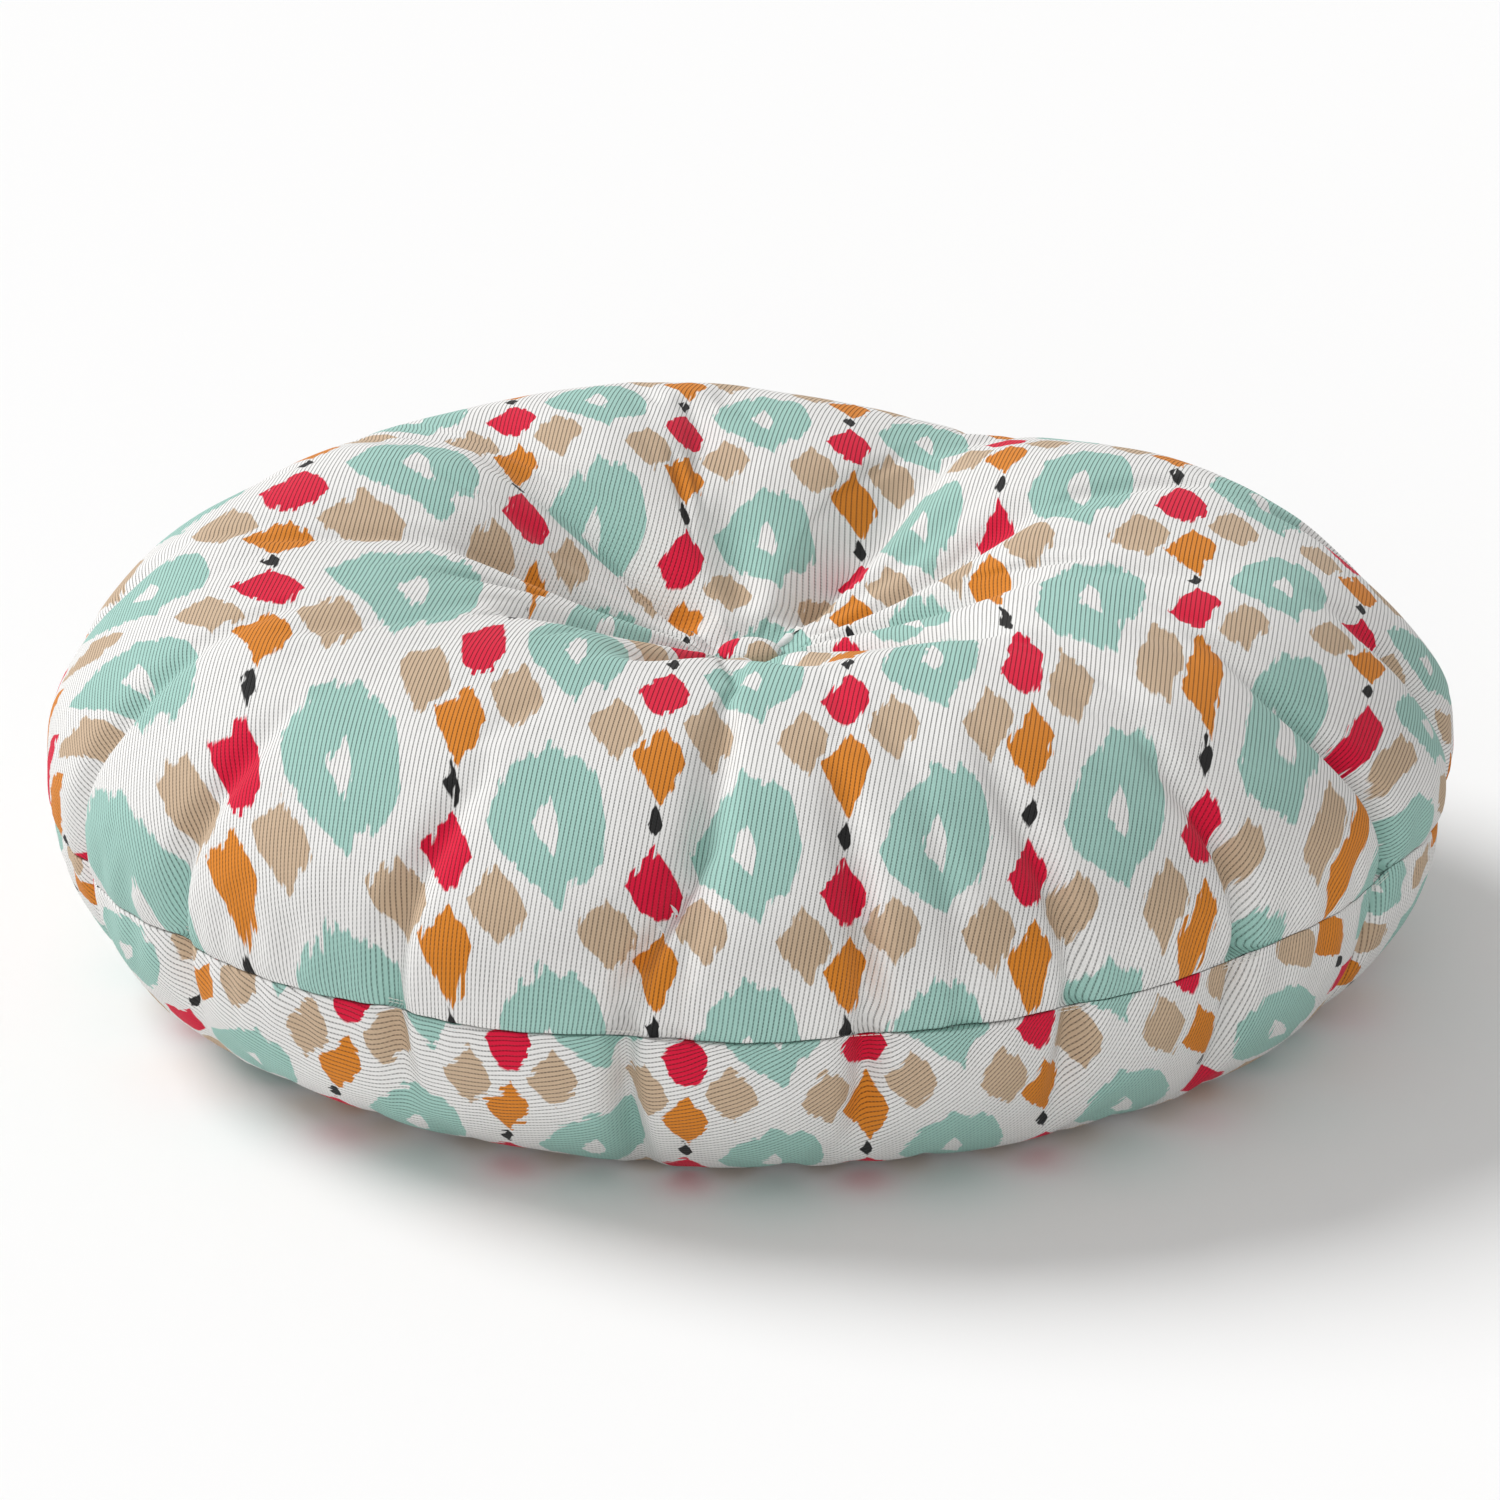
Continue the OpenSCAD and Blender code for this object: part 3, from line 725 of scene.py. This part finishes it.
liner_stitches = stitches("Lining_stitching", "liner_seam_stitching", [(LINING_STITCH_R, SEAM_Z)],
                          0, 2 * math.pi)


# ---- Twine between the buttons ----

STRAND_R = 0.0006
YARN_R = 0.0003
STRAND_END = 0.002
TWISTS = 34


def twisted_twine():
    """Each strand of the twine is two yarns twisted round each other."""
    low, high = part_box("tufting_twine")
    spread = high.y - STRAND_R
    parts, faces = [], []
    count = 220
    for side in (-1, 1):
        for phase in (0, math.pi):
            path = []
            for i in range(count + 1):
                part = i / count
                z = low.z + STRAND_END + (high.z - low.z - 2 * STRAND_END) * part
                spin = phase + part * 2 * math.pi * TWISTS
                path.append((YARN_R * math.cos(spin), side * spread + YARN_R * math.sin(spin), z))
            points, tube_faces = tube(path, YARN_R, 6)
            shift = sum(len(p) for p in parts)
            parts.append(points)
            faces += [tuple(f + shift for f in face) for face in tube_faces]
    for end_z, up in ((high.z - STRAND_R, 1), (low.z + STRAND_R, -1)):
        path = [(0, spread * math.cos(a), end_z - up * spread + up * spread * math.sin(a))
                for a in np.linspace(0, math.pi, 13)]
        points, tube_faces = tube(path, STRAND_R, 8)
        shift = sum(len(p) for p in parts)
        parts.append(points)
        faces += [tuple(f + shift for f in face) for face in tube_faces]
    obj = add_mesh("Tufting_twine", np.concatenate(parts), faces)
    shade_smooth(obj)
    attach(obj, "cushion")
    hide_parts("tufting_twine")
    return obj


twine = twisted_twine()


# ---- Materials ----

def srgb(red, green, blue):
    """Linear colour from 0-255 display values."""
    out = [c / 255 / 12.92 if c <= 10 else ((c / 255 + 0.055) / 1.055) ** 2.4 for c in (red, green, blue)]
    return (*out, 1.0)


GROUND = srgb(234, 233, 231)
TEAL = srgb(162, 202, 192)
RED = srgb(218, 26, 62)
ORANGE = srgb(216, 132, 44)
TAN = srgb(200, 175, 148)
BLACK = srgb(40, 40, 40)
CORD_PITCH = 0.0023
# Length of one crossing thread along a cord
THREAD_STEP = 0.0019
# How far print edges fray, in rows
FRAY = 0.135
TIP_STEP = 0.012


class Graph:
    """Adds nodes to a material; each method gives back an output socket."""

    def __init__(self, name, roughness=0.9):
        self.material = bpy.data.materials.new(name)
        self.material.use_nodes = True
        self.tree = self.material.node_tree
        self.shader = self.tree.nodes["Principled BSDF"]
        self.shader.inputs["Roughness"].default_value = roughness

    def node(self, kind, **settings):
        made = self.tree.nodes.new(kind)
        for key, value in settings.items():
            setattr(made, key, value)
        return made

    def put(self, value, socket):
        if isinstance(value, bpy.types.NodeSocket):
            self.tree.links.new(value, socket)
        else:
            socket.default_value = value

    def math(self, operation, *values, clamp=False):
        made = self.node("ShaderNodeMath", operation=operation, use_clamp=clamp)
        for value, socket in zip(values, made.inputs):
            self.put(value, socket)
        return made.outputs[0]

    def mix(self, factor, first, second, blend="MIX"):
        made = self.node("ShaderNodeMix", data_type="RGBA", blend_type=blend)
        self.put(factor, made.inputs[0])
        self.put(first, made.inputs[6])
        self.put(second, made.inputs[7])
        return made.outputs[2]

    def layer(self, name):
        made = self.node("ShaderNodeUVMap", uv_map=name)
        split = self.node("ShaderNodeSeparateXYZ")
        self.tree.links.new(made.outputs[0], split.inputs[0])
        return split.outputs[0], split.outputs[1]

    def place(self, x, y, z=0.0):
        made = self.node("ShaderNodeCombineXYZ")
        for value, socket in zip((x, y, z), made.inputs):
            self.put(value, socket)
        return made.outputs[0]

    def noise(self, vector, scale, detail=2.0):
        made = self.node("ShaderNodeTexNoise")
        self.put(vector, made.inputs["Vector"])
        self.put(scale, made.inputs["Scale"])
        self.put(detail, made.inputs["Detail"])
        return made.outputs[0]

    def curve(self, points, value, beyond):
        """A polyline through (x, y) points, both from -0.5 to 0.5, that steps by beyond past its ends."""
        made = self.node("ShaderNodeFloatCurve")
        line = made.mapping.curves[0]
        (first_x, first_y), (last_x, last_y) = points[0], points[-1]
        line.points[0].location = (0.0, first_y + beyond + 0.5)
        line.points[1].location = (1.0, last_y + beyond + 0.5)
        before = (first_x - TIP_STEP, first_y + beyond)
        after = (last_x + TIP_STEP, last_y + beyond)
        for x, y in [before] + points + [after]:
            line.points.new(x + 0.5, y + 0.5)
        for point in line.points:
            point.handle_type = "VECTOR"
        made.mapping.update()
        self.put(self.math("ADD", value, 0.5), made.inputs[1])
        return self.math("SUBTRACT", made.outputs[0], 0.5)

    def bump(self, height, distance, strength=1.0):
        made = self.node("ShaderNodeBump")
        self.put(strength, made.inputs["Strength"])
        self.put(distance, made.inputs["Distance"])
        self.put(height, made.inputs["Height"])
        self.tree.links.new(made.outputs[0], self.shader.inputs["Normal"])

    def colour(self, value):
        self.put(value, self.shader.inputs["Base Color"])


# Each motif: colour, place in the repeat (column, row), and its upper and lower outline in parts
# of the repeat, from its left tip to its right tip. Rows count towards the front.
TEAL_TOP = [(-.325, -.019), (-.22, .197), (-.128, .282), (-.10, .268), (-.035, .357), (.058, .301),
            (.116, .315), (.174, .269), (.20, .254), (.233, .169), (.263, .009)]
TEAL_BOTTOM = [(-.325, -.019), (-.267, -.146), (-.128, -.258), (.047, -.381), (.081, -.282),
               (.12, -.235), (.174, -.235), (.244, -.122), (.263, .009)]
CORE_TOP = [(-.093, -.036), (-.05, .05), (-.012, .107), (.02, .04), (.035, -.03)]
CORE_BOTTOM = [(-.093, -.036), (-.04, -.09), (.012, -.143), (.03, -.09), (.035, -.03)]
RED_TOP = [(-.15, -.017), (-.09, .052), (-.03, .131), (.005, .178), (.05, .113), (.09, .07),
           (.125, -.009)]
RED_BOTTOM = [(-.15, -.017), (-.12, -.052), (-.10, -.104), (-.05, -.161), (0, -.178), (.05, -.161),
              (.09, -.113), (.125, -.009)]
ORANGE_TOP = [(-.135, .009), (-.09, .063), (-.04, .108), (.02, .194), (.05, .135), (.10, .099),
              (.13, .027)]
ORANGE_BOTTOM = [(-.135, .009), (-.10, -.054), (-.05, -.117), (.005, -.189), (.02, -.203), (.05, -.144),
                 (.09, -.09), (.13, .027)]
BLACK_TOP = [(-.042, -.009), (-.02, .034), (0, .072), (.02, .043), (.035, -.009)]
BLACK_BOTTOM = [(-.042, -.009), (-.02, -.047), (.005, -.076), (.025, -.043), (.035, -.009)]
TAN_TOP = [(-.14, 0), (-.10, .069), (-.05, .115), (0, .179), (.05, .129), (.10, .092), (.145, 0)]
TAN_BOTTOM = [(-.14, 0), (-.11, -.06), (-.05, -.12), (.03, -.184), (.07, -.115), (.12, -.078),
              (.145, 0)]
MOTIFS = [
    (TEAL, (0.5, 0.79), TEAL_TOP, TEAL_BOTTOM), (GROUND, (0.5, 0.79), CORE_TOP, CORE_BOTTOM),
    (TAN, (0.245, 0.21), TAN_TOP, TAN_BOTTOM), (TAN, (-0.235, 0.275), TAN_TOP, TAN_BOTTOM),
    (RED, (0.0, 0.0), RED_TOP, RED_BOTTOM), (ORANGE, (0.0, 0.43), ORANGE_TOP, ORANGE_BOTTOM),
    (BLACK, (0.0, 0.71), BLACK_TOP, BLACK_BOTTOM),
]
FEATHER = 0.012


def inside_motif(graph, column, row, centre, upper, lower):
    def off_centre(value, middle):
        away = graph.math("SUBTRACT", value, middle)
        return graph.math("SUBTRACT", away, graph.math("ROUND", away))

    x = off_centre(column, centre[0])
    y = graph.math("MULTIPLY", off_centre(row, centre[1]), -1.0)
    below_upper = graph.math("SUBTRACT", graph.curve(upper, x, -0.06), y)
    above_lower = graph.math("SUBTRACT", y, graph.curve(lower, x, 0.06))
    depth = graph.math("MINIMUM", below_upper, above_lower)
    return graph.math("MULTIPLY_ADD", depth, 1 / FEATHER, 0.5, clamp=True)


def printed_twill(name, cord_angle):
    """The printed cover: six-colour print on a ribbed twill whose cords run at cord_angle to +Y, with
    painted shade in the grooves between the cords.
    """
    graph = Graph(name, roughness=0.92)
    column, row = graph.layer("Print")
    u, v = graph.layer("Weave")
    turn = math.radians(cord_angle)
    u_cos, u_sin = graph.math("MULTIPLY", u, math.cos(turn)), graph.math("MULTIPLY", u, math.sin(turn))
    v_cos, v_sin = graph.math("MULTIPLY", v, math.cos(turn)), graph.math("MULTIPLY", v, math.sin(turn))
    across = graph.math("ADD", u_cos, v_sin)
    along = graph.math("SUBTRACT", v_cos, u_sin)
    cord = graph.math("DIVIDE", across, CORD_PITCH)
    cord_number = graph.math("FLOOR", cord)
    # print edges step from cord to cord and fray a little
    ragged = graph.noise(graph.place(cord_number, graph.math("MULTIPLY", along, 45.0)), 1.37, 1.0)
    fray = graph.math("MULTIPLY", graph.math("SUBTRACT", ragged, 0.5), FRAY)
    soft_row = graph.math("ADD", row, fray)
    soft_column = graph.math("ADD", column, graph.math("MULTIPLY", fray, 0.35))
    colour = GROUND
    for paint, centre, upper, lower in MOTIFS:
        mask = inside_motif(graph, soft_column, soft_row, centre, upper, lower)
        colour = graph.mix(mask, colour, paint)
    # painted shade in the grooves between the cords, broken into dots by the crossing threads
    off = graph.math("ABSOLUTE", graph.math("SUBTRACT", graph.math("FRACT", cord), 0.5))
    groove = graph.math("SUBTRACT", 1.0, graph.math("MULTIPLY", off, 5.4), clamp=True)
    offset = graph.math("MULTIPLY", cord_number, 0.37)
    step = graph.math("ADD", graph.math("DIVIDE", along, THREAD_STEP), offset)
    dot = graph.math("ABSOLUTE", graph.math("SUBTRACT", graph.math("FRACT", step), 0.5))
    dots = graph.math("MULTIPLY_ADD", dot, 2.2, 0.20, clamp=True)
    # slow noise that makes the painted groove shade stronger in some places and weaker in others
    groove_shade_noise = graph.noise(graph.place(u, v), 45.0, 3.0)
    groove_shade_strength = graph.math("MULTIPLY_ADD", groove_shade_noise, 0.9, 0.30)
    groove_shade = graph.math("MULTIPLY", graph.math("MULTIPLY", groove, dots), groove_shade_strength)
    # the painted groove shade darkens the base colour by up to 90 per cent
    shade = graph.math("SUBTRACT", 1.0, graph.math("MULTIPLY", groove_shade, 0.90))
    # soft mottling of a heavy cotton
    mottle = graph.math("MULTIPLY_ADD", graph.noise(graph.place(u, v), 320.0, 2.0), 0.10, 0.945)
    shade = graph.math("MULTIPLY", shade, mottle)
    graph.colour(graph.mix(1.0, colour, graph.place(shade, shade, shade), "MULTIPLY"))
    height = graph.math("SUBTRACT", 1.0, groove)
    height = graph.math("ADD", height, graph.math("MULTIPLY", dot, 0.35))
    graph.bump(height, 0.0007, 0.8)
    graph.shader.inputs["Sheen Weight"].default_value = 0.06
    graph.shader.inputs["Specular IOR Level"].default_value = 0.15
    return graph.material


def plain_cloth(name, colour, scale, depth):
    """Plain woven cloth or thread, with a fine and a slow variation in object space."""
    graph = Graph(name, roughness=0.93)
    where = graph.node("ShaderNodeTexCoord").outputs["Object"]
    cells = graph.noise(where, scale, 4.0)
    slow = graph.noise(where, scale * 0.08, 2.0)
    tone = graph.math("MULTIPLY_ADD", cells, 0.16, graph.math("MULTIPLY_ADD", slow, 0.08, 0.86))
    graph.colour(graph.mix(1.0, colour, graph.place(tone, tone, tone), "MULTIPLY"))
    graph.bump(cells, depth, 0.5)
    graph.shader.inputs["Specular IOR Level"].default_value = 0.2
    return graph.material


def brushed_metal(name, colour, roughness):
    graph = Graph(name, roughness=roughness)
    where = graph.node("ShaderNodeTexCoord").outputs["Object"]
    stretch = graph.node("ShaderNodeMapping")
    stretch.inputs["Scale"].default_value = (60.0, 60.0, 900.0)
    graph.tree.links.new(where, stretch.inputs["Vector"])
    lines = graph.noise(stretch.outputs[0], 5.0, 3.0)
    tone = graph.math("MULTIPLY_ADD", lines, 0.18, 0.88)
    graph.colour(graph.mix(1.0, colour, graph.place(tone, tone, tone), "MULTIPLY"))
    graph.bump(lines, 0.00002, 0.4)
    graph.shader.inputs["Metallic"].default_value = 1.0
    return graph.material


def coil_plastic(name, colour):
    graph = Graph(name, roughness=0.42)
    where = graph.node("ShaderNodeTexCoord").outputs["Object"]
    tone = graph.math("MULTIPLY_ADD", graph.noise(where, 700.0, 2.0), 0.08, 0.95)
    graph.colour(graph.mix(1.0, colour, graph.place(tone, tone, tone), "MULTIPLY"))
    return graph.material


top_twill = printed_twill("Printed_twill_top", -8.0)
bottom_twill = printed_twill("Printed_twill_bottom", 60.0)
lining_cloth = plain_cloth("Lining_cloth", srgb(232, 231, 227), 2600.0, 0.0001)
fibre = plain_cloth("Polyester_fibre", srgb(246, 246, 245), 420.0, 0.0012)
thread = plain_cloth("Sewing_thread", srgb(236, 234, 228), 5200.0, 0.00005)
twine_yarn = plain_cloth("Waxed_twine", srgb(214, 203, 178), 4200.0, 0.00008)
tape_weave = plain_cloth("Zip_tape_weave", srgb(229, 227, 220), 3800.0, 0.00008)
coil = coil_plastic("Zip_coil_plastic", srgb(224, 222, 214))
button_steel = brushed_metal("Button_steel", srgb(190, 192, 194), 0.38)
zip_steel = brushed_metal("Zip_steel", srgb(200, 201, 203), 0.30)


def give(material, *objects):
    for obj in objects:
        obj.data.materials.clear()
        obj.data.materials.append(material)


give(top_twill, cover_top, button_top)
give(bottom_twill, cover_bottom, button_bottom)
give(lining_cloth, liner_top, liner_bottom)
give(fibre, filling)
give(thread, zip_stitches, seam_stitches, liner_stitches)
give(twine_yarn, twine)
give(tape_weave, upper_tape, lower_tape)
give(coil, upper_coil, lower_coil)
give(twine_yarn, nodes["twine_knot"])
for part in ("shell", "back", "shank"):
    give(button_steel, nodes[f"top_button_{part}"], nodes[f"bottom_button_{part}"])
for part in ("end_stops", "start_stop", "slider", "pull_pin", "pull_tab"):
    give(zip_steel, nodes[f"zip_{part}"])


# ---- Floor, light and camera ----

FLOOR_HALF = 12
# The floor lies just under the base, so that the two never fight for a pixel
FLOOR_DROP = 0.0006
SKY_STRENGTH = 0.54
# Name, where it shines from, how wide its disc is in degrees, and its strength
SUNS = [("Key", (-2.3, 1.5, 2.5), 32, 2.55), ("Fill", (-0.6, -3.0, 0.55), 40, 0.72)]


def floor_and_light():
    corners = [(FLOOR_HALF * x, FLOOR_HALF * y, 0) for x, y in ((-1, -1), (1, -1), (1, 1), (-1, 1))]
    floor = add_mesh("Floor", corners, [(0, 1, 2, 3)])
    floor.location.z = -FLOOR_DROP
    paper = Graph("Floor_paper", roughness=0.95)
    paper.colour(srgb(242, 242, 242))
    paper.shader.inputs["Specular IOR Level"].default_value = 0.1
    give(paper.material, floor)

    world = bpy.data.worlds.new("Studio")
    bpy.context.scene.world = world
    world.use_nodes = True
    world.node_tree.nodes["Background"].inputs[0].default_value = (1.0, 0.995, 0.99, 1)
    world.node_tree.nodes["Background"].inputs[1].default_value = SKY_STRENGTH

    for name, place, spread, strength in SUNS:
        light = bpy.data.lights.new(name, "SUN")
        light.angle = math.radians(spread)
        light.energy = strength
        lamp = bpy.data.objects.new(name, light)
        lamp.location = place
        lamp.rotation_mode = "QUATERNION"
        lamp.rotation_quaternion = (Vector((0, 0, 0.1)) - Vector(place)).to_track_quat("-Z", "Y")
        bpy.context.scene.collection.objects.link(lamp)


VIEW_ELEVATION = math.radians(21)
VIEW_DISTANCE = 3.532
VIEW_TARGET_Z = 0.100
VIEW_LENS = 167.8
VIEW_SHIFT = 0.0079


def camera():
    data = bpy.data.cameras.new("Camera")
    data.lens = VIEW_LENS
    data.sensor_width = 36
    data.shift_y = VIEW_SHIFT
    data.clip_end = 100
    view = bpy.data.objects.new("Camera", data)
    view.location = (0, -VIEW_DISTANCE * math.cos(VIEW_ELEVATION),
                     VIEW_TARGET_Z + VIEW_DISTANCE * math.sin(VIEW_ELEVATION))
    view.rotation_euler = (math.pi / 2 - VIEW_ELEVATION, 0, 0)
    bpy.context.scene.collection.objects.link(view)
    bpy.context.scene.camera = view


floor_and_light()
camera()
bpy.context.scene.view_settings.view_transform = "Standard"
